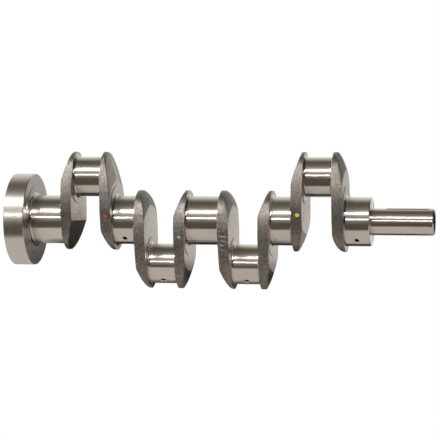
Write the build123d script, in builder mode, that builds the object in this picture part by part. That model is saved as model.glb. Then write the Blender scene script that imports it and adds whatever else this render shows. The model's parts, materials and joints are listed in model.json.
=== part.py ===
"""Four-cylinder engine crankshaft with five main journals and no balance weights.

Frame: X runs along the shaft from the flywheel face (X = 0) to the nose, Z points along
the throws of crankpins 1 and 4, and the shaft axis is Y = Z = 0.  All sizes in millimetres.
The forging is divided at its web faces, so each journal, pin and web is its own solid.
"""
from math import cos, radians, sin
import os

from build123d import *

os.makedirs("parts", exist_ok=True)

# ---- journals, pins and their spacing -------------------------------------------------
THROW = 63.5
MAIN_R = 69.85 / 2
PIN_R = 57.15 / 2
MAIN_FILLET = 3.0
PIN_FILLET = 3.5
WEB_T = 15.25
PIN_SPAN = 42.25
MAIN_SPANS = (49.5, 34.25, 49.25, 33.0, 36.75)
PIN_SIGNS = (1, -1, -1, 1)

# ---- webs -----------------------------------------------------------------------------
PIN_END_R = 34.0
MAIN_END_R = 40.25
PIN_TIP_Z = 99.75
MAIN_TIP_Z = -43.9
FLANK_R = 142.0
COLLAR_H = 0.8
MAIN_COLLAR_R = 50.3
PIN_COLLAR_R = 38.5
# Forged dome round the pin end, on each web's main-journal face and centred on the shaft:
# radius where it starts, slope there in degrees, and radius of its convex section.
DOMES = (
    (76.0, 21.0, 530.0),
    (61.5, 12.0, 300.0),
    (78.0, 25.5, 180.0),
    (74.5, 16.0, 140.0),
    (78.0, 25.5, 180.0),
    (74.5, 16.0, 140.0),
    (73.5, 21.0, 415.0),
    (74.5, 16.0, 140.0),
)
# Forged dome at the main end, on each crankpin face: height where it starts on a wide arc,
# slope there, and section radius.  The rearmost web has a flat instead.
HEEL_ARC_R = 114.5
HEELS = (
    None,
    (-22.0, 23.5, 350.0),
    (-23.0, 13.0, 56.0),
    (-22.0, 23.5, 350.0),
    (-23.0, 13.0, 56.0),
    (-22.0, 23.5, 350.0),
    (-19.0, 13.5, 73.0),
    (-26.5, 18.5, 42.0),
)
FLAT_Z = -1.4
FLAT_ANGLE = 15.2
FLAT_ROLL = -8.7

# ---- oil drillings, one straight hole from each pin to the main journal ahead of it ---
OIL_HOLE_R = 3.0
OIL_SINK_R = 4.4
PIN_HOLE_ANGLE = 42.0
MAIN_HOLE_ANGLE = 40.0
DRILL_LEAD = 12.0

# ---- flywheel flange ------------------------------------------------------------------
FLANGE_R = 66.5
FLANGE_T = 30.5
FLANGE_CHAMFER = 0.8
BOLT_CIRCLE_R = 50.8
BOLT_COUNT = 6
BOLT_TAP_R = 5.75
BOLT_DEPTH = 24.0
DOWEL_R = 4.75
DOWEL_L = 24.0
DOWEL_HOLE_DEPTH = 14.0
DOWEL_ANGLE = 150.0
RUNOUT_R = 17.5
RUNOUT_DEPTH = 26.0

# ---- nose -----------------------------------------------------------------------------
NOSE_R = 19.05
NOSE_L = 88.5
NOSE_FILLET = 1.5
NOSE_CHAMFER = 1.6
MAIN_END_CHAMFER = 1.0
KEYWAY_W = 8.0
KEYWAY_DEPTH = 4.5
KEYWAY_START = 21.0
KEYWAY_L = 61.5
CENTRE_TAP_R = 8.5
CENTRE_TAP_DEPTH = 38.0
CENTRE_SINK_R = 12.0

# ---- spigot ball bearing --------------------------------------------------------------
BEARING_R = 23.5
BEARING_W = 14.0
BEARING_RECESS = 2.0
BORE_R = 10.0
INNER_LAND_R = 14.2
OUTER_LAND_R = 19.3
BALL_PITCH_R = 16.75
BALL_R = 3.7
RACE_R = 4.0
BALL_COUNT = 8
CAGE_W = 9.0
CAGE_T = 1.4
CAGE_CLEAR = 0.1
SHIELD_T = 0.5
SHIELD_INSET = 0.6
SHIELD_GROOVE = 0.6
SHIELD_IN_R = 14.9
RING_CHAMFER = 0.6

# ---- positions along the shaft --------------------------------------------------------
main_start = []
web_start = []
pin_start = []
station = FLANGE_T
for index in range(4):
    main_start.append(station)
    web_start.append(station + MAIN_SPANS[index])
    pin_start.append(web_start[-1] + WEB_T)
    web_start.append(pin_start[-1] + PIN_SPAN)
    station = web_start[-1] + WEB_T
main_start.append(station)
main_end = station + MAIN_SPANS[4]
shaft_end = main_end + NOSE_L


def save(part, name):
    """Label one sub-part and write it to its own STEP file."""
    part.label = name
    export_step(part, f"parts/{name}.step")


def polar(radius, angle):
    """Y and Z of a point seen along the shaft, with the angle measured from +Y."""
    return radius * cos(radians(angle)), radius * sin(radians(angle))


def oil_line(throw_index):
    """Two ends of a drilling: on the crankpin, then on the main journal."""
    sign = PIN_SIGNS[throw_index]
    pin_y, pin_z = polar(PIN_R, 90 - PIN_HOLE_ANGLE)
    main_y, main_z = polar(MAIN_R, 180 + MAIN_HOLE_ANGLE)
    pin_x = pin_start[throw_index] + PIN_SPAN / 2
    main_x = main_start[throw_index + 1] + MAIN_SPANS[throw_index + 1] / 2
    on_pin = Vector(pin_x, sign * pin_y, sign * (THROW + pin_z))
    on_main = Vector(main_x, sign * main_y, sign * main_z)
    return on_pin, on_main


def drill_oil(throw_index):
    """Cut one whole drilling out of the part being built."""
    on_pin, on_main = oil_line(throw_index)
    run = on_main - on_pin
    mouth = on_pin - run.normalized() * DRILL_LEAD
    with BuildSketch(Plane(origin=mouth, z_dir=run)) as hole:
        Circle(OIL_HOLE_R)
    extrude(hole.sketch, amount=run.length + 2 * DRILL_LEAD, mode=Mode.SUBTRACT)


def fillet_boss(root_x, way, radius, fillet_r, axis_z=0.0):
    """Add the root of a journal: a short core with its hollow fillet, standing on a face."""
    with BuildSketch(Plane.XZ) as root:
        with BuildLine() as profile:
            tip_x = root_x + way * fillet_r
            Line((root_x, axis_z), (root_x, axis_z + radius + fillet_r))
            RadiusArc((root_x, axis_z + radius + fillet_r), (tip_x, axis_z + radius), -way * fillet_r)
            Line((tip_x, axis_z + radius), (tip_x, axis_z))
            Line((tip_x, axis_z), (root_x, axis_z))
        make_face(profile.edges())
    revolve(root.sketch, axis=Axis((0, 0, axis_z), (1, 0, 0)))


def dome_radius(depth, start_r, slope, arc_r):
    """Radius that a convex dome reaches at a depth below the face it starts on."""
    centre_r = start_r - arc_r * sin(radians(slope))
    centre_depth = arc_r * cos(radians(slope))
    return centre_r + (arc_r**2 - (centre_depth - depth) ** 2) ** 0.5


def keep_inside_dome(face_x, way, start_r, slope, arc_r, axis_z):
    """Keep what lies inside a convex dome that starts at face_x and widens along way."""
    near_x = face_x - way * COLLAR_H
    mid_x = face_x + way * WEB_T / 2
    back_x = face_x + way * WEB_T
    far_x = back_x + way * COLLAR_H
    mid_r = dome_radius(WEB_T / 2, start_r, slope, arc_r)
    back_r = dome_radius(WEB_T, start_r, slope, arc_r)
    with BuildSketch(Plane.XZ) as half:
        with BuildLine() as profile:
            Polyline((near_x, axis_z), (near_x, axis_z + start_r), (face_x, axis_z + start_r))
            ThreePointArc(
                (face_x, axis_z + start_r), (mid_x, axis_z + mid_r), (back_x, axis_z + back_r)
            )
            Polyline(
                (back_x, axis_z + back_r),
                (far_x, axis_z + back_r),
                (far_x, axis_z),
                (near_x, axis_z),
            )
        make_face(profile.edges())
    revolve(half.sketch, axis=Axis((0, 0, axis_z), (1, 0, 0)), mode=Mode.INTERSECT)


def web_outline():
    """Four-arc oval of a web, with its crankpin towards +Y of the sketch."""
    pin_c = PIN_TIP_Z - PIN_END_R
    main_c = MAIN_TIP_Z + MAIN_END_R
    gap = pin_c - main_c
    to_pin = FLANK_R - PIN_END_R
    to_main = FLANK_R - MAIN_END_R
    rise = (to_main**2 - to_pin**2 + gap**2) / (2 * gap)
    offset = (to_main**2 - rise**2) ** 0.5
    flank_c = main_c + rise
    upper = Vector(0, pin_c) + Vector(offset, pin_c - flank_c).normalized() * PIN_END_R
    lower = Vector(0, main_c) + Vector(offset, main_c - flank_c).normalized() * MAIN_END_R
    bulge = FLANK_R - offset
    with BuildLine() as outline:
        ThreePointArc((-upper.X, upper.Y), (0, PIN_TIP_Z), (upper.X, upper.Y))
        ThreePointArc((upper.X, upper.Y), (bulge, flank_c), (lower.X, lower.Y))
        ThreePointArc((lower.X, lower.Y), (0, MAIN_TIP_Z), (-lower.X, lower.Y))
        ThreePointArc((-lower.X, lower.Y), (-bulge, flank_c), (-upper.X, upper.Y))
    make_face(outline.edges())


# ---- flywheel flange ------------------------------------------------------------------
with BuildPart() as rear_flange:
    with BuildSketch(Plane.YZ):
        Circle(FLANGE_R)
    extrude(amount=FLANGE_T - COLLAR_H)
    chamfer(rear_flange.edges().filter_by(GeomType.CIRCLE), FLANGE_CHAMFER)
    with BuildSketch(Plane.YZ.offset(FLANGE_T - COLLAR_H)):
        Circle(MAIN_COLLAR_R)
    extrude(amount=COLLAR_H)
    fillet_boss(FLANGE_T, 1, MAIN_R, MAIN_FILLET)
    with BuildSketch(Plane.YZ):
        Circle(BEARING_R)
    extrude(amount=BEARING_RECESS + BEARING_W, mode=Mode.SUBTRACT)
    with BuildSketch(Plane.YZ):
        Circle(RUNOUT_R)
    extrude(amount=RUNOUT_DEPTH, mode=Mode.SUBTRACT)
    with Locations(Plane(origin=(0, 0, 0), x_dir=(0, -1, 0), z_dir=(-1, 0, 0))):
        with PolarLocations(BOLT_CIRCLE_R, BOLT_COUNT):
            Hole(BOLT_TAP_R, BOLT_DEPTH)
        with PolarLocations(BOLT_CIRCLE_R, 1, start_angle=DOWEL_ANGLE):
            Hole(DOWEL_R, DOWEL_HOLE_DEPTH)
save(rear_flange.part, "rear_flange")

dowel_y, dowel_z = polar(BOLT_CIRCLE_R, 180 - DOWEL_ANGLE)
with BuildPart() as flywheel_dowel:
    with BuildSketch(Plane.YZ.offset(DOWEL_HOLE_DEPTH)):
        with Locations((dowel_y, dowel_z)):
            Circle(DOWEL_R)
    extrude(amount=-DOWEL_L)
    chamfer(flywheel_dowel.faces().sort_by(Axis.X)[0].edges(), RING_CHAMFER)
save(flywheel_dowel.part, "flywheel_dowel")

# ---- main journals --------------------------------------------------------------------
for index in range(5):
    first_x = main_start[index] + MAIN_FILLET
    last_x = main_start[index] + MAIN_SPANS[index] - MAIN_FILLET
    if index > 0:
        first_x += COLLAR_H
    if index < 4:
        last_x -= COLLAR_H
    else:
        last_x = main_end
    with BuildPart() as main_journal:
        with BuildSketch(Plane.YZ.offset(first_x)):
            Circle(MAIN_R)
        extrude(amount=last_x - first_x)
        if index > 0:
            drill_oil(index - 1)
        if index == 4:
            chamfer(main_journal.faces().sort_by(Axis.X)[-1].edges(), MAIN_END_CHAMFER)
            fillet_boss(main_end, 1, NOSE_R, NOSE_FILLET)
    save(main_journal.part, f"main_journal_{index + 1}")

# ---- crankpins ------------------------------------------------------------------------
pin_margin = COLLAR_H + PIN_FILLET
for index in range(4):
    centre_z = PIN_SIGNS[index] * THROW
    on_pin, on_main = oil_line(index)
    outward = Vector(0, on_pin.Y, on_pin.Z - centre_z).normalized()
    with BuildPart() as crankpin:
        with BuildSketch(Plane.YZ.offset(pin_start[index] + pin_margin)):
            with Locations((0, centre_z)):
                Circle(PIN_R)
        extrude(amount=PIN_SPAN - 2 * pin_margin)
        drill_oil(index)
        # countersunk mouth, so that the bearing shell isn't scored
        with BuildSketch(Plane(origin=on_pin, z_dir=outward)):
            Circle(OIL_SINK_R)
        extrude(amount=-(OIL_SINK_R - OIL_HOLE_R), taper=45, mode=Mode.SUBTRACT)
    save(crankpin.part, f"crankpin_{index + 1}")

# ---- webs -----------------------------------------------------------------------------
for index in range(8):
    throw_index = index // 2
    sign = PIN_SIGNS[throw_index]
    pin_ahead = index % 2 == 0
    to_pin_side = 1 if pin_ahead else -1
    rear_face = web_start[index]
    pin_face = rear_face + WEB_T if pin_ahead else rear_face
    main_face = rear_face if pin_ahead else rear_face + WEB_T
    with BuildPart() as web:
        with BuildSketch(Plane(origin=(rear_face, 0, 0), x_dir=(0, sign, 0), z_dir=(1, 0, 0))):
            web_outline()
        extrude(amount=WEB_T)
        for face_x, way, centre, collar_r in (
            (main_face, -to_pin_side, 0, MAIN_COLLAR_R),
            (pin_face, to_pin_side, THROW, PIN_COLLAR_R),
        ):
            with BuildSketch(Plane(origin=(face_x, 0, 0), x_dir=(0, sign, 0), z_dir=(1, 0, 0))):
                web_outline()
                with Locations((0, centre)):
                    Circle(collar_r, mode=Mode.INTERSECT)
            extrude(amount=way * COLLAR_H)
        keep_inside_dome(main_face, to_pin_side, *DOMES[index], 0)
        if index == 0:
            lean = Vector(cos(radians(FLAT_ANGLE)), 0, -sin(radians(FLAT_ANGLE)))
            with BuildSketch(
                Plane(origin=(pin_face, 0, FLAT_Z), z_dir=lean.rotate(Axis.X, FLAT_ROLL))
            ):
                Circle(2 * PIN_TIP_Z)
            extrude(amount=2 * WEB_T, mode=Mode.SUBTRACT)
        else:
            heel_z, slope, arc_r = HEELS[index]
            heel_axis_z = sign * (heel_z + HEEL_ARC_R)
            keep_inside_dome(pin_face, -to_pin_side, HEEL_ARC_R, slope, arc_r, heel_axis_z)
        fillet_boss(main_face - to_pin_side * COLLAR_H, -to_pin_side, MAIN_R, MAIN_FILLET)
        fillet_boss(
            pin_face + to_pin_side * COLLAR_H, to_pin_side, PIN_R, PIN_FILLET, sign * THROW
        )
        if not pin_ahead:
            drill_oil(throw_index)
    save(web.part, f"web_{index + 1}")

# ---- nose -----------------------------------------------------------------------------
with BuildPart() as nose:
    with BuildSketch(Plane.YZ.offset(main_end + NOSE_FILLET)):
        Circle(NOSE_R)
    extrude(amount=NOSE_L - NOSE_FILLET)
    chamfer(nose.faces().sort_by(Axis.X)[-1].edges(), NOSE_CHAMFER)
    with BuildSketch(Plane.XY.offset(NOSE_R)):
        with Locations((main_end + KEYWAY_START + KEYWAY_L / 2, 0)):
            SlotOverall(KEYWAY_L, KEYWAY_W)
    extrude(amount=-KEYWAY_DEPTH, mode=Mode.SUBTRACT)
    with Locations(Plane.YZ.offset(shaft_end)):
        CounterSinkHole(CENTRE_TAP_R, CENTRE_SINK_R, CENTRE_TAP_DEPTH, counter_sink_angle=60)
save(nose.part, "nose")

# ---- spigot ball bearing --------------------------------------------------------------
bearing_x = BEARING_RECESS + BEARING_W / 2
shield_offset = BEARING_W / 2 - SHIELD_INSET - SHIELD_T / 2

with BuildPart() as outer_ring:
    with BuildSketch(Plane.XZ):
        with Locations((bearing_x, (OUTER_LAND_R + BEARING_R) / 2)):
            Rectangle(BEARING_W, BEARING_R - OUTER_LAND_R)
        with Locations((bearing_x, BALL_PITCH_R)):
            Circle(RACE_R, mode=Mode.SUBTRACT)
        for side in (-1, 1):
            with Locations((bearing_x + side * shield_offset, OUTER_LAND_R)):
                Rectangle(SHIELD_T, 2 * SHIELD_GROOVE, mode=Mode.SUBTRACT)
    revolve(axis=Axis.X)
    rims = outer_ring.edges().filter_by(GeomType.CIRCLE).sort_by(SortBy.RADIUS)
    chamfer(rims[-2:], RING_CHAMFER)
save(outer_ring.part, "bearing_outer_ring")

with BuildPart() as inner_ring:
    with BuildSketch(Plane.XZ):
        with Locations((bearing_x, (INNER_LAND_R + BORE_R) / 2)):
            Rectangle(BEARING_W, INNER_LAND_R - BORE_R)
        with Locations((bearing_x, BALL_PITCH_R)):
            Circle(RACE_R, mode=Mode.SUBTRACT)
    revolve(axis=Axis.X)
    rims = inner_ring.edges().filter_by(GeomType.CIRCLE).sort_by(SortBy.RADIUS)
    chamfer(rims[:2], RING_CHAMFER)
save(inner_ring.part, "bearing_inner_ring")

with BuildPart() as balls:
    with Locations(Plane.YZ.offset(bearing_x)):
        with PolarLocations(BALL_PITCH_R, BALL_COUNT):
            Sphere(BALL_R)
save(balls.part, "bearing_balls")

with BuildPart() as cage:
    with BuildSketch(Plane.YZ.offset(bearing_x - CAGE_W / 2)):
        Circle(BALL_PITCH_R + CAGE_T / 2)
        Circle(BALL_PITCH_R - CAGE_T / 2, mode=Mode.SUBTRACT)
    extrude(amount=CAGE_W)
    with Locations(Plane.YZ.offset(bearing_x)):
        with PolarLocations(BALL_PITCH_R, BALL_COUNT):
            Cylinder(BALL_R + CAGE_CLEAR, 4 * CAGE_T, rotation=(0, 90, 0), mode=Mode.SUBTRACT)
save(cage.part, "bearing_cage")

for side, name in ((-1, "bearing_shield_rear"), (1, "bearing_shield_front")):
    with BuildPart() as shield:
        with BuildSketch(Plane.YZ.offset(bearing_x + side * shield_offset - SHIELD_T / 2)):
            Circle(OUTER_LAND_R + SHIELD_GROOVE)
            Circle(SHIELD_IN_R, mode=Mode.SUBTRACT)
        extrude(amount=SHIELD_T)
    save(shield.part, name)
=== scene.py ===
"""Looks for the four-cylinder crankshaft: studio, camera, materials and the detailed webs.

Row frame, in metres: X along the shaft from the flywheel face to the nose, Z along the throws
of crankpins 1 and 4.
"""
import json
import math

import bmesh
import bpy
import numpy as np
from mathutils import Matrix, Vector


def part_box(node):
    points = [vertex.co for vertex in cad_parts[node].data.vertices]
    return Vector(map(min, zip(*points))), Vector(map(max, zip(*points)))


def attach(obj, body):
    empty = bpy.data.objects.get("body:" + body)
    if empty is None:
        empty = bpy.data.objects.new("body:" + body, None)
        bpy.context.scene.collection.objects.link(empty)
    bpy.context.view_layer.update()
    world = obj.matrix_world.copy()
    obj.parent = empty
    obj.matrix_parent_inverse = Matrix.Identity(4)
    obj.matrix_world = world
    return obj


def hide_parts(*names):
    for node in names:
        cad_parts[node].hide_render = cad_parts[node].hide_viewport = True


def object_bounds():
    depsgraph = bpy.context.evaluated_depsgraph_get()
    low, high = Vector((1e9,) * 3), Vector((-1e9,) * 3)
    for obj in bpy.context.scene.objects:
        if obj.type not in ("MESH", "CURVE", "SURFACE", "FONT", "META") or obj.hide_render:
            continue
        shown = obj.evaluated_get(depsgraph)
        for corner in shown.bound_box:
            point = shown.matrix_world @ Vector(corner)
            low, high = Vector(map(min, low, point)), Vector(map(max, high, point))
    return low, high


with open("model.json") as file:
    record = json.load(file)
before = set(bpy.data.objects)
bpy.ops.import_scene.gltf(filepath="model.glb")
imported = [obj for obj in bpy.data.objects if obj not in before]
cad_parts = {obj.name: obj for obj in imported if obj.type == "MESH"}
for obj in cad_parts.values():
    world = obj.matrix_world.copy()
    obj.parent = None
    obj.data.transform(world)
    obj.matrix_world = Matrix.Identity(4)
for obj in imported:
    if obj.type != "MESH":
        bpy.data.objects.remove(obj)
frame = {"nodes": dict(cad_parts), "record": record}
cad_low, cad_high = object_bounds()

# Metres in a millimetre, and how far the crankpins are from the shaft axis, in millimetres.
MM = 0.001
THROW = 63.5

# ---- camera ---------------------------------------------------------------------------
LOOK_AT = Vector((0.3058, 0.0, 0.0))
YAW = math.radians(11.42)
ELEVATION = math.radians(9.22)
ROLL = math.radians(-1.40)
DISTANCE = 2.786
FOCAL_TO_FRAME = 4.402
SENSOR = 36.0
SHIFT_X, SHIFT_Y = -0.0018, 0.0014
CLIP_START, CLIP_END = 0.05, 100.0


def new_object(name, data):
    made = bpy.data.objects.new(name, data)
    bpy.context.scene.collection.objects.link(made)
    return made


def make_camera():
    """Long lens, a little above the shaft and to the nose's side."""
    forward = Vector((
        -math.sin(YAW) * math.cos(ELEVATION),
        math.cos(YAW) * math.cos(ELEVATION),
        -math.sin(ELEVATION),
    ))
    right = Vector((math.cos(YAW), math.sin(YAW), 0.0))
    up = right.cross(forward)
    right_rolled = right * math.cos(ROLL) + up * math.sin(ROLL)
    up_rolled = up * math.cos(ROLL) - right * math.sin(ROLL)
    data = bpy.data.cameras.new("studio_camera")
    data.sensor_width = SENSOR
    data.lens = FOCAL_TO_FRAME * SENSOR
    data.shift_x, data.shift_y = SHIFT_X, SHIFT_Y
    data.clip_start, data.clip_end = CLIP_START, CLIP_END
    camera = new_object("studio_camera", data)
    rotation = Matrix((right_rolled, up_rolled, -forward)).transposed()
    camera.matrix_world = Matrix.Translation(LOOK_AT - forward * DISTANCE) @ rotation.to_4x4()
    bpy.context.scene.camera = camera


make_camera()


# ---- node helpers ---------------------------------------------------------------------
class Graph:
    """Short names for building one node tree."""

    def __init__(self, tree):
        self.tree = tree
        tree.nodes.clear()

    def node(self, kind, inputs=None, **settings):
        made = self.tree.nodes.new(kind)
        for key, value in settings.items():
            setattr(made, key, value)
        for key, value in (inputs or {}).items():
            self.feed(made.inputs[key], value)
        return made

    def feed(self, socket, value):
        if isinstance(value, bpy.types.NodeSocket):
            self.tree.links.new(value, socket)
        else:
            socket.default_value = value

    def math(self, operation, *values, clamp=False):
        made = self.node("ShaderNodeMath", operation=operation, use_clamp=clamp)
        for index, value in enumerate(values):
            self.feed(made.inputs[index], value)
        return made.outputs[0]

    def ramp(self, factor, stops):
        made = self.node("ShaderNodeValToRGB")
        elements = made.color_ramp.elements
        while len(elements) < len(stops):
            elements.new(0.5)
        for element, (place, colour) in zip(elements, stops):
            element.position = place
            element.color = (*colour, 1.0)
        self.feed(made.inputs[0], factor)
        return made.outputs[0]

    def mix(self, factor, first, second, blend="MIX"):
        made = self.node("ShaderNodeMix", data_type="RGBA", blend_type=blend)
        self.feed(made.inputs[0], factor)
        self.feed(made.inputs[6], first)
        self.feed(made.inputs[7], second)
        return made.outputs[2]

    def axes(self, vector):
        return self.node("ShaderNodeSeparateXYZ", {0: vector}).outputs

    def length(self, first, second):
        squares = [self.math("MULTIPLY", side, side) for side in (first, second)]
        return self.math("SQRT", self.math("ADD", *squares))

    def noise(self, vector, detail, scale=5.0, roughness=0.5):
        return self.node("ShaderNodeTexNoise", {
            "Vector": vector, "Scale": scale, "Detail": detail, "Roughness": roughness,
        }).outputs[0]

    def spread(self, value, to_low, to_high, from_low=0.0, from_high=1.0):
        return self.node("ShaderNodeMapRange", {
            "Value": value, "From Min": from_low, "From Max": from_high,
            "To Min": to_low, "To Max": to_high,
        }).outputs[0]

    def bump(self, height, strength, distance):
        return self.node("ShaderNodeBump", {
            "Height": height, "Strength": strength, "Distance": distance,
        }).outputs[0]

    def camera_sees(self):
        return self.node("ShaderNodeLightPath").outputs["Is Camera Ray"]

    def object_place(self):
        return self.node("ShaderNodeTexCoord").outputs["Object"]

    def finish(self, shader):
        self.node("ShaderNodeOutputMaterial", {"Surface": shader.outputs[0]})


def new_material(name):
    material = bpy.data.materials.new(name)
    material.use_nodes = True
    return material, Graph(material.node_tree)


# ---- studio ---------------------------------------------------------------------------
WHITE = (1.0, 1.0, 1.0, 1.0)
HALF, DOUBLE = (0.5, 0.5, 0.5, 1.0), (2.0, 2.0, 2.0, 1.0)
# Angle round the shaft in degrees, from level towards the camera (0) over the top (90) to level
# behind (180), and the brightness of the studio there.
STUDIO = (
    (-25, 0.05, 0.042, 0.033),
    (-10, 0.07, 0.06, 0.05),
    (2, 0.26, 0.24, 0.21),
    (9, 0.45, 0.43, 0.40),
    (30, 0.42, 0.41, 0.40),
    (44, 0.62, 0.61, 0.61),
    (66, 0.52, 0.50, 0.49),
    (80, 0.24, 0.22, 0.20),
    (97, 0.13, 0.115, 0.095),
    (112, 0.18, 0.165, 0.14),
    (126, 0.48, 0.46, 0.42),
    (145, 0.90, 0.88, 0.83),
    (180, 0.95, 0.94, 0.92),
)
RAMP_START = -90.0
RAMP_RANGE = 360.0
# Half of what the brightness in front is multiplied by, against the slope towards the flywheel
# end, where the window is.
WINDOW = ((0.0, (0.24, 0.24, 0.24)), (0.2, (0.27, 0.27, 0.27)), (0.7, (0.9, 0.9, 0.9)))
FRONT_SHARPNESS = 3.0
# The room darkens against the slope towards the nose's end.
NOSE_SIDE = ((0.32, (1.0, 1.0, 1.0)), (0.5, (0.07, 0.08, 0.10)))

FLOOR_CLEARANCE = 0.0003
TABLE_HALF = 20.0
TABLE_COLOUR = (0.54, 0.522, 0.498, 1.0)
# Colour of the black flag and of the dark sheets of painted shadow.
FLAG_AND_SHADOW_COLOUR = (0.08, 0.068, 0.055, 1.0)
CARD_GLOW_COLOUR = (1.0, 0.965, 0.92, 1.0)
CARD_GLOW = 0.85
CARD_STEP = 0.0001
# Cards on the table: X from and to, Y from and to. Each lies a step above the one before.
CARDS = (
    # The cards named shadow are painted shadows: dark sheets that put shade into the reflections.
    ("front_flag", "flag_and_painted_shadow", -4.0, 4.0, -4.0, -0.18),
    ("rail_shadow", "flag_and_painted_shadow", 0.045, 0.60, 0.02, 0.08),
    ("back_card", "white_card", -0.5, 3.0, 0.20, 5.0),
    ("back_shadow", "flag_and_painted_shadow", -0.1, 0.24, 0.10, 0.42),
    ("flange_shadow", "flag_and_painted_shadow", -0.5, 0.2, 0.42, 1.3),
    ("end_shadow", "flag_and_painted_shadow", 0.70, 3.0, 0.20, 0.85),
)
# Softboxes: angle round the shaft, slope along it, distance, length, height, power and colour.
LIGHTS = (
    ("key_softbox", 55, -0.75, 2.6, 0.7, 0.34, 60.0, (1.0, 0.98, 0.97)),
    ("fill_softbox", 48, 0.35, 2.4, 0.7, 0.2, 27.0, (1.0, 0.98, 0.96)),
    ("front_strip", 20, -0.2, 2.6, 2.4, 0.10, 8.0, (1.0, 0.97, 0.93)),
    ("right_window", 48, 1.4, 2.6, 0.35, 0.2, 6.0, (0.72, 0.82, 1.0)),
)


def make_world():
    """A white backdrop behind, a dim ceiling and a dark room in front."""
    world = bpy.data.worlds.new("studio")
    world.use_nodes = True
    bpy.context.scene.world = world
    g = Graph(world.node_tree)
    way = g.axes(g.node("ShaderNodeTexCoord").outputs["Generated"])
    toward = g.math("MULTIPLY", way[1], -1.0)
    turn = g.math("ARCTAN2", way[2], toward)
    degrees = g.math("MULTIPLY", turn, 180.0 / math.pi)
    shifted = g.math("SUBTRACT", degrees, RAMP_START)
    wrapped = g.math("WRAP", shifted, RAMP_RANGE, 0.0)
    stops = [((a - RAMP_START) / RAMP_RANGE, tuple(colour)) for a, *colour in STUDIO]
    room = g.ramp(g.math("DIVIDE", wrapped, RAMP_RANGE), stops)
    window = g.ramp(g.math("MULTIPLY", way[0], -1.0), WINDOW)
    in_front = g.math("MULTIPLY", toward, FRONT_SHARPNESS, clamp=True)
    window = g.mix(in_front, HALF, window)
    window = g.mix(1.0, window, DOUBLE, "MULTIPLY")
    room = g.mix(1.0, room, window, "MULTIPLY")
    room = g.mix(1.0, room, g.ramp(way[0], NOSE_SIDE), "MULTIPLY")
    colour = g.mix(g.camera_sees(), room, WHITE)
    background = g.node("ShaderNodeBackground", {"Color": colour, "Strength": 1.0})
    g.node("ShaderNodeOutputWorld", {"Surface": background.outputs[0]})


def area_light(name, angle, sideways, distance, length, height, power, colour):
    """A softbox that faces the middle of the shaft."""
    data = bpy.data.lights.new(name, "AREA")
    data.shape = "RECTANGLE"
    data.size, data.size_y = length, height
    data.energy = power
    data.color = colour
    light = new_object(name, data)
    a = math.radians(angle)
    away = Vector((sideways, -math.cos(a), math.sin(a))).normalized()
    across = Vector((1, 0, 0)) - away * away.x
    across.normalize()
    turn = Matrix((across, away.cross(across), away)).transposed().to_4x4()
    light.matrix_world = Matrix.Translation(LOOK_AT + away * distance) @ turn
    light.visible_camera = False


def level_sheet(name, material, x0, x1, y0, y1, z):
    mesh = bpy.data.meshes.new(name)
    mesh.from_pydata([(x0, y0, z), (x1, y0, z), (x1, y1, z), (x0, y1, z)], [], [(0, 1, 2, 3)])
    mesh.materials.append(material)
    return new_object(name, mesh)


def make_floor():
    """Pale table that the camera sees as white, and the cards that only reflections see: a black
    flag, a glowing card and dark sheets of painted shadow.
    """
    pale, g = new_material("pale_table")
    diffuse = g.node("ShaderNodeBsdfDiffuse", {"Color": TABLE_COLOUR})
    glow = g.node("ShaderNodeEmission", {"Color": WHITE, "Strength": 1.0})
    g.finish(g.node("ShaderNodeMixShader", {
        0: g.camera_sees(), 1: diffuse.outputs[0], 2: glow.outputs[0],
    }))
    level = cad_low.z - FLOOR_CLEARANCE
    half = TABLE_HALF
    table = level_sheet("table", pale, -half, half, -half, half, level)

    # One dark material for the black flag and the painted shadows.
    dark, g = new_material("flag_and_painted_shadow")
    g.finish(g.node("ShaderNodeBsdfDiffuse", {"Color": FLAG_AND_SHADOW_COLOUR}))
    white, g = new_material("white_card")
    g.finish(g.node("ShaderNodeEmission", {"Color": CARD_GLOW_COLOUR, "Strength": CARD_GLOW}))
    looks = {"flag_and_painted_shadow": dark, "white_card": white}
    for name, look, x0, x1, y0, y1 in CARDS:
        level += CARD_STEP
        flag = level_sheet(name, looks[look], x0, x1, y0, y1, level)
        flag.visible_camera = False
        flag.visible_shadow = False
        flag.visible_diffuse = False


make_world()
make_floor()
for light in LIGHTS:
    area_light(*light)
bpy.context.scene.view_settings.view_transform = "Standard"

# ---- materials ------------------------------------------------------------------------
GROUND_LINES, MILLED_LINES = 5200.0, 5400.0
# A face counts as square to the shaft when its normal leans this far along X.
END_FACING = 0.95
END_ROUGHER = 0.12
# Roughness wanders between these shares of its mean, with the marks.
LEAST_ROUGH, MOST_ROUGH = 0.8, 1.25
SKIN_DARK, SKIN_LIGHT = (0.085, 0.076, 0.066), (0.31, 0.285, 0.26)
SKIN_PATCHES = 0.12
SKIN_ROUGH, SKIN_SMOOTH = 0.39, 0.26
PAINT_ROUGH = 0.6
# Scratches of a burst: rays round it, reach from and to, and strength in tint and in height.
BURST_RAYS = 9.0
BURST_FROM, BURST_TO = 0.004, 0.034
BURST_TINT, BURST_HEIGHT = 2.6, 3.0


def shades(colour, amount):
    return tuple(c * amount for c in colour)


def radius_from(g, place, axis_z):
    """Distance from a line along X at a height above the shaft axis."""
    _, across, height = g.axes(place)
    return g.length(across, g.math("SUBTRACT", height, axis_z))


def turning_lines(g, place, pitch):
    """Coordinates that change along X and with the radius, and never round the shaft."""
    return g.node("ShaderNodeCombineXYZ", {
        0: g.math("MULTIPLY", g.axes(place)[0], pitch),
        1: g.math("MULTIPLY", radius_from(g, place, 0.0), pitch / 3),
    }).outputs[0]


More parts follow.
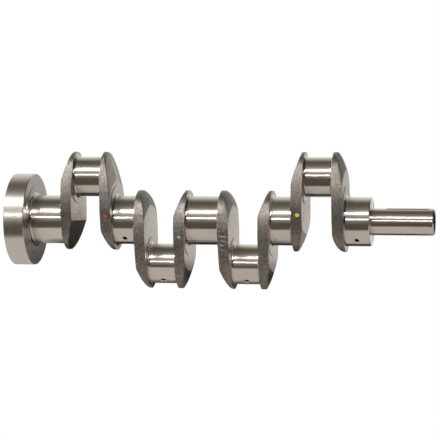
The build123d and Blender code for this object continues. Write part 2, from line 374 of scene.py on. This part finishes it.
def ground_steel(name, colour, roughness, grain=0.85, marks=0.12, end_shade=1.0, inside=()):
    """Ground and polished: fine marks run round the journal, so they vary only along X.

    The end faces, square to the shaft, take painted shade: their colour is darkened by the share
    given for them, and they are less polished. Inside lists zones with a look of their own,
    painted darker as shade, such as the wall of an oil hole: height of the zone's axis, its
    radius, the X where it starts and ends, colour and roughness.
    """
    material, g = new_material(name)
    place = g.object_place()
    lines = g.noise(turning_lines(g, place, GROUND_LINES), detail=3.0)
    cloud = g.noise(place, detail=4.0, scale=55.0)
    tint = g.ramp(cloud, ((0.3, shades(colour, 0.95)), (0.7, colour)))
    rough = g.spread(lines, roughness * LEAST_ROUGH, roughness * MOST_ROUGH)
    if end_shade != 1.0:
        normal = g.node("ShaderNodeTexCoord").outputs["Normal"]
        end_face = g.math("GREATER_THAN", g.math("ABSOLUTE", g.axes(normal)[0]), END_FACING)
        # Painted shade on the end faces.
        tint = g.mix(end_face, tint, (*shades(colour, end_shade), 1.0))
        rough = g.math("ADD", rough, g.math("MULTIPLY", end_face, END_ROUGHER))
    for axis_z, radius, start, end, inner_colour, inner_roughness in inside:
        along = g.axes(place)[0]
        deep = g.math("LESS_THAN", radius_from(g, place, axis_z), radius)
        deep = g.math("MULTIPLY", deep, g.math("GREATER_THAN", along, start))
        deep = g.math("MULTIPLY", deep, g.math("LESS_THAN", along, end))
        # Painted shade in the zone.
        tint = g.mix(deep, tint, (*inner_colour, 1.0))
        rough = g.spread(deep, rough, inner_roughness)
    round_axis = g.node("ShaderNodeTangent", direction_type="RADIAL", axis="X")
    g.finish(g.node("ShaderNodeBsdfPrincipled", {
        "Base Color": tint, "Metallic": 1.0, "Roughness": rough,
        "Normal": g.bump(lines, strength=marks, distance=0.00002),
        "Anisotropic": grain, "Anisotropic Rotation": 0.25,
        "Tangent": round_axis.outputs[0],
    }))
    return material


def forged_steel(name, paint=None, light_and_shade=1.0, polish=1.0):
    """As-forged and shot-blasted skin, with a dab of inspector's paint where one is asked for,
    and its colour scaled by painted light and shade where a facet asks for it.
    """
    material, g = new_material(name)
    place = g.object_place()
    pits = g.noise(place, detail=2.0, scale=720.0, roughness=0.6)
    patch = g.noise(place, detail=3.0, scale=45.0)
    mottle = g.math("ADD", g.math("MULTIPLY", patch, SKIN_PATCHES),
                    g.math("MULTIPLY", pits, 1.0 - SKIN_PATCHES))
    skin = g.ramp(mottle, ((0.39, shades(SKIN_DARK, light_and_shade)), (0.61, shades(SKIN_LIGHT, light_and_shade))))
    rough = g.spread(pits, SKIN_ROUGH * polish, SKIN_SMOOTH * polish)
    metal = 1.0
    if paint:
        colour, centre, radius = paint
        ragged = g.noise(place, detail=3.0, scale=420.0)
        gap = g.node("ShaderNodeVectorMath", {0: place, 1: centre}, operation="DISTANCE")
        reach = g.math("MULTIPLY", g.math("ADD", ragged, 0.5), radius)
        dab = g.math("LESS_THAN", gap.outputs["Value"], reach)
        skin = g.mix(dab, skin, (*colour, 1.0))
        rough = g.math("MAXIMUM", rough, g.math("MULTIPLY", dab, PAINT_ROUGH))
        metal = g.math("SUBTRACT", 1.0, dab)
    g.finish(g.node("ShaderNodeBsdfPrincipled", {
        "Base Color": skin, "Metallic": metal, "Roughness": rough,
        "Normal": g.bump(pits, strength=0.75, distance=0.001),
    }))
    return material


def milled_steel(name, colour, roughness, burst=None):
    """Turned web face: fine rings about the shaft, and a satin shine.

    A burst is a place in Y and Z that scratches run out from.
    """
    material, g = new_material(name)
    place = g.object_place()
    rings = g.noise(turning_lines(g, place, MILLED_LINES), detail=2.0)
    nicks_at = g.node("ShaderNodeMapping", {
        "Vector": place, "Rotation": (0.6, 0.0, 0.0), "Scale": (60.0, 60.0, 1500.0),
    })
    nicks = g.noise(nicks_at.outputs[0], detail=4.0, scale=1.0)
    cloud = g.noise(place, detail=4.0, scale=60.0)
    wear = g.math("ADD", g.math("MULTIPLY", cloud, 0.5), g.math("MULTIPLY", nicks, 0.5))
    height = g.math("ADD", rings, nicks)
    if burst:
        _, across, up = g.axes(place)
        aside = g.math("SUBTRACT", across, burst[0])
        above = g.math("SUBTRACT", up, burst[1])
        angle = g.math("ARCTAN2", above, aside)
        rays_at = g.node("ShaderNodeCombineXYZ", {0: g.math("MULTIPLY", angle, BURST_RAYS)})
        rays = g.noise(rays_at.outputs[0], detail=2.0, scale=1.0)
        near = g.spread(g.length(aside, above), BURST_TINT, 0.0, BURST_FROM, BURST_TO)
        swing = g.math("MULTIPLY", g.math("SUBTRACT", rays, 0.5), near)
        wear = g.math("ADD", wear, swing)
        height = g.math("ADD", height, g.math("MULTIPLY", swing, BURST_HEIGHT))
    g.finish(g.node("ShaderNodeBsdfPrincipled", {
        "Base Color": g.ramp(wear, ((0.40, shades(colour, 0.66)), (0.58, colour))),
        "Metallic": 1.0,
        "Roughness": g.spread(wear, roughness * LEAST_ROUGH, roughness * MOST_ROUGH,
                              from_low=0.38, from_high=0.62),
        "Normal": g.bump(height, strength=0.5, distance=0.00012),
    }))
    return material


# Painted shade for the oil holes and the nose's end face, and the dark colour of the joint faces.
SHADE_AND_JOINT_DARK = (0.03, 0.028, 0.026)
JOURNAL_STEEL, FACE_STEEL = (0.62, 0.575, 0.53), (0.66, 0.62, 0.575)
# Steel just under the ground skin of a journal is the wall of its oil hole, up to just short of
# the front face of the last journal; it is painted dark, as the shade inside the hole.
UNDER_MAIN_R, UNDER_PIN_R = 0.0347, 0.0274
HOLES_END_X = 0.5235
OIL_HOLE_SHADE = tuple(
    (axis_z, radius, 0.0, HOLES_END_X, SHADE_AND_JOINT_DARK, 1.0)
    for axis_z, radius in (
        (0.0, UNDER_MAIN_R), (THROW * MM, UNDER_PIN_R), (-THROW * MM, UNDER_PIN_R),
    )
)
# The middle of the nose's end face, painted dark as shade, and the shoulder in front of the
# flange, smoother and painted a little darker as shade.
NOSE_END_SHADE = (0.0, 0.0165, 0.5, 1.0, SHADE_AND_JOINT_DARK, 0.5)
FLANGE_SHOULDER_SHADE = (0.0, 0.0395, 0.02, 1.0, (0.50, 0.47, 0.44), 0.12)
# Where the scratches on web 1's milled face run out from.
BURST_AT = (0.004, 0.009)
LOOKS = {
    "ground_journal": ground_steel("ground_journal", JOURNAL_STEEL, 0.22, inside=OIL_HOLE_SHADE),
    # The nose's end face is painted dark as shade.
    "ground_nose": ground_steel("ground_nose", JOURNAL_STEEL, 0.22, end_shade=0.3,
                                inside=(NOSE_END_SHADE,)),
    "joint_face": ground_steel("joint_face", SHADE_AND_JOINT_DARK, 0.6, 0.0),
    # Fillet steel a little darker than the journals', as painted shade in the hollow.
    "ground_fillet": ground_steel("ground_fillet", (0.54, 0.50, 0.465), 0.13, 0.5),
    # The flange's front face is painted a little darker as shade.
    "turned_flange": ground_steel("turned_flange", (0.57, 0.54, 0.505), 0.23, 0.0, 0.05, 0.8,
                                  inside=(FLANGE_SHOULDER_SHADE,)),
    "forged_web": forged_steel("forged_web"),
    "milled_face": milled_steel("milled_face", FACE_STEEL, 0.34),
    "scratched_face": milled_steel("scratched_face", FACE_STEEL, 0.34, BURST_AT),
    "dowel_steel": ground_steel("dowel_steel", (0.5, 0.49, 0.48), 0.2),
    "bearing_steel": ground_steel("bearing_steel", (0.68, 0.68, 0.69), 0.1),
    "bearing_pressing": ground_steel("bearing_pressing", (0.55, 0.55, 0.56), 0.3),
}
SLOT_OF = {part["node"]: part["material_slot"] for part in frame["record"]["subparts"]}
for name, node in frame["nodes"].items():
    node.data.materials.clear()
    node.data.materials.append(LOOKS["ground_nose" if name == "nose" else SLOT_OF[name]])

# ---- forged webs ----------------------------------------------------------------------
# Sizes in millimetres, in each web's own frame: z towards its crankpin from the shaft axis, and
# depth into the web from its main-journal face.
WEB_T = 15.25
COLLAR_H = 0.8
PIN_ARC = (65.75, 34.0)
MAIN_ARC = (-3.65, 40.25)
FLANK_R = 142.0
MAIN_SIDE = {"axis": 0.0, "radius": 34.925, "fillet": 3.0, "collar": 50.3}
PIN_SIDE = {"axis": THROW, "radius": 28.575, "fillet": 3.5, "collar": 38.5}
HUB_Z = 34.5
# Centre of the oval's flank, an arc that touches both end arcs.
ARC_GAP = PIN_ARC[0] - MAIN_ARC[0]
TO_PIN, TO_MAIN = FLANK_R - PIN_ARC[1], FLANK_R - MAIN_ARC[1]
FLANK_RISE = (TO_MAIN**2 - TO_PIN**2 + ARC_GAP**2) / (2 * ARC_GAP)
FLANK_Y, FLANK_Z = math.sqrt(TO_MAIN**2 - FLANK_RISE**2), MAIN_ARC[0] + FLANK_RISE
# Forged domes round the pin end, on the main-journal face: radius where they start, slope there
# in degrees, and the radius of their convex section.
REAR_DOME, FRONT_DOME = (78.0, 25.5, 180.0), (74.5, 16.0, 140.0)
DOMES = {1: (76.0, 21.0, 530.0), 2: (61.5, 12.0, 300.0), 7: (73.5, 21.0, 415.0)}
# The same at the main end, on the crankpin face: height where they start on a wide arc, slope
# there, and section radius.
HEEL_ARC_R = 114.5
# Share of a section's radius that keeps the root real where the draft lifts a dome's start.
ARC_LIMIT = 0.9999
REAR_HEEL, FRONT_HEEL = (-22.0, 23.5, 350.0), (-23.0, 13.0, 56.0)
HEELS = {7: (-19.0, 13.5, 73.0), 8: (-26.5, 18.5, 42.0)}
# The rearmost web has one flat there instead: height, angle, and roll about the shaft.
FLAT_WEB = 1
FLAT_Z, FLAT_ANGLE, FLAT_ROLL = -1.4, 15.2, math.radians(-8.7)
# A direction that falls less than this meets the flat too far away to matter.
LEAST_FALL, FAR_AWAY = 0.05, 1000.0
DRAFT = 0.03
FORGED_EDGE = 3.0
# The skin lies this far inside the CAD web, which leaves room for its unevenness.
SKIN_UNDER = 0.5
SKIN_NOISE = 0.04
WAVES, WAVE_SHORT, WAVE_LONG, WAVE_SUM = 14, 7.0, 30.0, 5.0
# The parting ridge crosses both ends of the rim at Y = 0, where no facet has cut the oval by
# RIDGE_CUT. The domes of one web carry it too.
RIDGE_H, RIDGE_W, RIDGE_CUT = 0.35, 1.1, 1.0
RIDGED_DOMES = 8
# The domed and flat facets of some webs: how light against the rim, which is painted light and
# shade, and how rough. A facet is where it has cut the oval by FACET_CUT.
FACET_SHADE_AND_POLISH = {1: (0.35, 0.9), 2: (1.9, 0.5), 6: (1.1, 0.7), 8: (0.8, 1.0)}
FACET_CUT = 0.4
# Raised bars across the camera-side rim of one web: heights of their middles, depths, and size.
BARS = {5: ((11.0, 17.5, 24.0, 30.5, 37.0), (3.2, 11.8))}
BAR_HALF, BAR_RISE, BAR_EDGE = 1.6, 0.8, 1.5
# Dabs of inspector's paint on the rims, facing the camera: colour, depth, height and radius.
PAINT = {
    2: ((0.26, 0.04, 0.03), 6.9, 11.8, 2.9),
    4: ((0.26, 0.40, 0.20), 7.0, 17.5, 2.2),
    7: ((0.52, 0.42, 0.05), 9.0, 15.6, 3.0),
}
SCRATCHED_WEB = 1
TURNS = 480
RIM_ROWS = 30
FILLET_ROWS = 8
WELD = 1e-6
SHARP_EDGE = math.radians(32)
FORGED, MILLED, GROUND, FACET, JOINT = range(5)


def to_circle(way_z, centre_z, radius):
    """Distance from the hub point to a circle centred on Y = 0, in a direction of slope way_z."""
    offset = HUB_Z - centre_z
    along = way_z * offset
    return np.sqrt(along**2 - offset**2 + radius**2) - along


def to_outline(way_y, way_z):
    """Distance from the hub point to the web's four-arc oval."""
    along = np.abs(way_y) * FLANK_Y + way_z * (HUB_Z - FLANK_Z)
    offset_sq = FLANK_Y**2 + (HUB_Z - FLANK_Z) ** 2
    reach = np.sqrt(along**2 - offset_sq + FLANK_R**2) - along
    for (centre_z, radius), to_arc, way in ((PIN_ARC, TO_PIN, 1), (MAIN_ARC, TO_MAIN, -1)):
        joint_z = centre_z + radius * (centre_z - FLANK_Z) / to_arc
        hit = to_circle(way_z, centre_z, radius)
        reach = np.where(way * (HUB_Z + hit * way_z - joint_z) > 0, hit, reach)
    return reach


def dome_radius(depth, start, slope, arc):
    """Radius of a convex forged dome at a depth below the face that it starts on."""
    a = math.radians(slope)
    below = np.minimum(arc * math.cos(a) - depth, arc * ARC_LIMIT)
    return start - arc * math.sin(a) + np.sqrt(arc**2 - below**2)


def flank_width(height):
    """Half width of the web's oval between its end arcs."""
    return math.sqrt(FLANK_R**2 - (height - FLANK_Z) ** 2) - FLANK_Y


def soft_min(first, second, width):
    near = np.clip(1 - np.abs(first - second) / width, 0, 1)
    return np.minimum(first, second) - near**2 * width / 4


def skin_noise(rng, y, z, x):
    """Slow unevenness of a forged skin, about between -1 and 1."""
    total = np.zeros_like(y)
    for _ in range(WAVES):
        wave = rng.normal(size=3)
        wave *= 2 * math.pi / rng.uniform(WAVE_SHORT, WAVE_LONG) / np.linalg.norm(wave)
        total += np.sin(wave[0] * x + wave[1] * y + wave[2] * z + rng.uniform(0, 2 * math.pi))
    return total / WAVE_SUM


def flat_reach(way_y, way_z, height):
    """Distance from the hub point to the rolled flat, at a height above the crankpin face."""
    slope = 1 / math.tan(math.radians(FLAT_ANGLE))
    fall = -(way_z * math.cos(FLAT_ROLL) - way_y * math.sin(FLAT_ROLL))
    room = height * slope + (HUB_Z - FLAT_Z) * math.cos(FLAT_ROLL)
    return np.where(fall > LEAST_FALL, room / np.maximum(fall, LEAST_FALL), FAR_AWAY)


def bar_rise(number, place, depth):
    """Height of a web's raised bars at a place up its rim and a depth."""
    heights, (near, far) = BARS[number]
    ends = np.clip((depth - near) * BAR_EDGE, 0, 1) * np.clip((far - depth) * BAR_EDGE, 0, 1)
    rise = 0.0
    for middle in heights:
        bar = np.clip((BAR_HALF - np.abs(place - middle)) * BAR_EDGE + 0.5, 0, 1)
        rise = rise + BAR_RISE * bar * ends
    return rise


def rim_reach(number, sign, way_y, way_z, depth, rng):
    """Distance from the hub point to the forged rim at each direction and depth, and where it is
    a facet and not the oval itself."""
    oval = to_outline(way_y, way_z)
    side = np.abs(way_y) * oval
    ridge = RIDGE_H * np.exp(-((side / RIDGE_W) ** 2))
    tilt = DRAFT * side - ridge * (number == RIDGED_DOMES)
    usual_dome, usual_heel = (REAR_DOME, FRONT_HEEL) if number % 2 else (FRONT_DOME, REAR_HEEL)
    dome = to_circle(way_z, 0.0, dome_radius(depth - tilt, *DOMES.get(number, usual_dome)))
    if number == FLAT_WEB:
        heel = flat_reach(way_y, way_z, WEB_T - depth)
    else:
        start_z, slope, arc = HEELS.get(number, usual_heel)
        heel_r = dome_radius(WEB_T - depth - tilt, HEEL_ARC_R, slope, arc)
        heel = to_circle(way_z, start_z + HEEL_ARC_R, heel_r)
    reach = soft_min(soft_min(oval, dome, FORGED_EDGE), heel, FORGED_EDGE)
    noise = skin_noise(rng, reach * way_y, reach * way_z, depth)
    raised = ridge * (reach > oval - RIDGE_CUT)
    if number in BARS:
        camera_side = way_y * sign < 0
        raised = raised + bar_rise(number, HUB_Z + reach * way_z, depth) * camera_side
    facet = np.minimum(dome, heel) < oval - FACET_CUT
    return reach - SKIN_UNDER + SKIN_NOISE * noise + raised, facet


def face_rings(side, way_y, way_z, edge):
    """Rings of one journal's side of a web, from the rim inwards: face, collar, hollow fillet.

    Returns Y, Z and the height outside the web's face for each ring.
    """
    step = np.minimum(to_circle(way_z, side["axis"], side["collar"]), edge)
    step_y, step_z = step * way_y, HUB_Z + step * way_z
    rings = [(step_y, step_z, 0.0), (step_y, step_z, COLLAR_H)]
    foot_r = side["radius"] + side["fillet"]
    foot = to_circle(way_z, side["axis"], foot_r)
    unit_y, unit_z = foot * way_y / foot_r, (HUB_Z + foot * way_z - side["axis"]) / foot_r
    for row in range(FILLET_ROWS + 1):
        turn = math.pi / 2 * row / FILLET_ROWS
        radius = foot_r - side["fillet"] * math.sin(turn)
        height = COLLAR_H + side["fillet"] * (1 - math.cos(turn))
        rings.append((radius * unit_y, side["axis"] + radius * unit_z, height))
    return rings


def web_place(number):
    """X of a web's main-journal face, the way from there into the web, and its pin's side."""
    low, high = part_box(f"web_{number}")
    way = 1 if number % 2 == 1 else -1
    main_end = low.x if way == 1 else high.x
    main_face = main_end / MM + way * (COLLAR_H + MAIN_SIDE["fillet"])
    sign = 1 if high.z > -low.z else -1
    return main_face, way, sign


def web_mesh(number):
    """One forged web: rim, two turned faces and two hollow fillets, as one closed mesh."""
    main_face, way, sign = web_place(number)
    rng = np.random.default_rng(number)
    turn = np.linspace(0, 2 * math.pi, TURNS, endpoint=False)
    way_y, way_z = np.sin(turn), np.cos(turn)
    # Rows crowd towards the two faces, where the facets' edges are.
    crowded = (1 - np.cos(np.linspace(0, math.pi, RIM_ROWS))) / 2
    depth = WEB_T * (0.5 * crowded + 0.5 * np.linspace(0, 1, RIM_ROWS))
    reach, facet = rim_reach(number, sign, way_y[None, :], way_z[None, :], depth[:, None], rng)
    main_rings = face_rings(MAIN_SIDE, way_y, way_z, reach[0])
    pin_rings = face_rings(PIN_SIDE, way_y, way_z, reach[-1])
    rings = [(y, z, -height) for y, z, height in reversed(main_rings)]
    rings += [(r * way_y, HUB_Z + r * way_z, d) for r, d in zip(reach, depth)]
    rings += [(y, z, WEB_T + height) for y, z, height in pin_rings]
    # What each band between two rings is: collar wall, collar top and fillet on either side. The
    # collar wall takes the forged skin, as painted shade along the collar's edge.
    inward = [FORGED, MILLED] + [GROUND] * FILLET_ROWS
    rim = list(np.where(facet[:-1], FACET, FORGED))
    kinds = inward[::-1] + [MILLED] + rim + [MILLED] + inward
    builder = bmesh.new()
    rows = []
    for y, z, d in rings:
        x = (main_face + way * d) * MM
        rows.append([builder.verts.new((x, sign * b * MM, sign * c * MM)) for b, c in zip(y, z)])
    for kind, first, second in zip(kinds, rows, rows[1:]):
        kind = np.broadcast_to(kind, TURNS)
        for j in range(TURNS):
            k = (j + 1) % TURNS
            face = builder.faces.new((first[j], first[k], second[k], second[j]))
            face.material_index = int(kind[j])
            face.smooth = True
    for row in (rows[0], rows[-1]):
        face = builder.faces.new(row)
        face.material_index = JOINT
    bmesh.ops.remove_doubles(builder, verts=builder.verts, dist=WELD)
    bmesh.ops.recalc_face_normals(builder, faces=builder.faces)
    for edge in builder.edges:
        if len(edge.link_faces) == 2 and edge.calc_face_angle(0.0) > SHARP_EDGE:
            edge.smooth = False
    mesh = bpy.data.meshes.new(f"web_{number}_forging")
    builder.to_mesh(mesh)
    builder.free()
    return mesh


for number in range(1, 9):
    mesh = web_mesh(number)
    skin = LOOKS["forged_web"]
    if number in PAINT:
        colour, depth, height, radius = PAINT[number]
        main_face, way, sign = web_place(number)
        centre = Vector((main_face + way * depth, -flank_width(height), sign * height)) * MM
        skin = forged_steel(f"painted_web_{number}", (colour, centre, radius * MM))
    facet = LOOKS["forged_web"]
    # Facets of some webs take their own copy of the skin, with painted light and shade.
    if number in FACET_SHADE_AND_POLISH:
        facet = forged_steel(f"lit_and_shaded_facets_web_{number}", None, *FACET_SHADE_AND_POLISH[number])
    milled = LOOKS["scratched_face" if number == SCRATCHED_WEB else "milled_face"]
    for look in (skin, milled, LOOKS["ground_fillet"], facet, LOOKS["joint_face"]):
        mesh.materials.append(look)
    piece = new_object(f"web_{number}_forging", mesh)
    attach(piece, "crankshaft")
    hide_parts(f"web_{number}")
